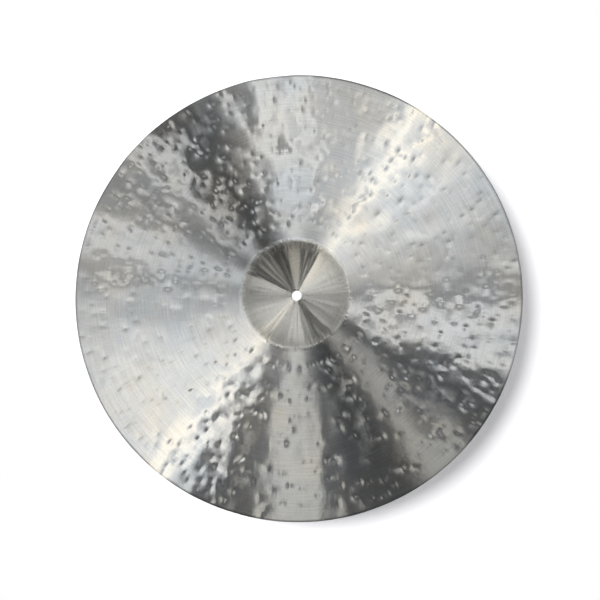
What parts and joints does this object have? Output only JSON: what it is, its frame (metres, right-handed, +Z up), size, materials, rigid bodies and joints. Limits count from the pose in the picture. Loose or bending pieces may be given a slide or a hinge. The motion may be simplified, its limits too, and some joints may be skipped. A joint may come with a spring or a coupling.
{
  "type": "tam-tam gong",
  "caption": "Round hand-hammered gong disc of one silvery metal sheet, with a shallow bow, a smooth raised centre cup and a round centre hole.",
  "frame": {"origin": "middle of the round centre hole, half way through the sheet", "axes": "+Y along the disc's axis, out of the raised side of the cup; the hollow side faces -Y; +Z up, as the disc hangs upright"},
  "size_m": [0.508, 0.0431, 0.508],
  "materials": {
    "hammered_metal": "hand-hammered and concentrically lathed bare metal, satin shine"
  },
  "bodies": {
    "root": {"gong_disc": "hammered_metal"}
  },
  "joints": []
}
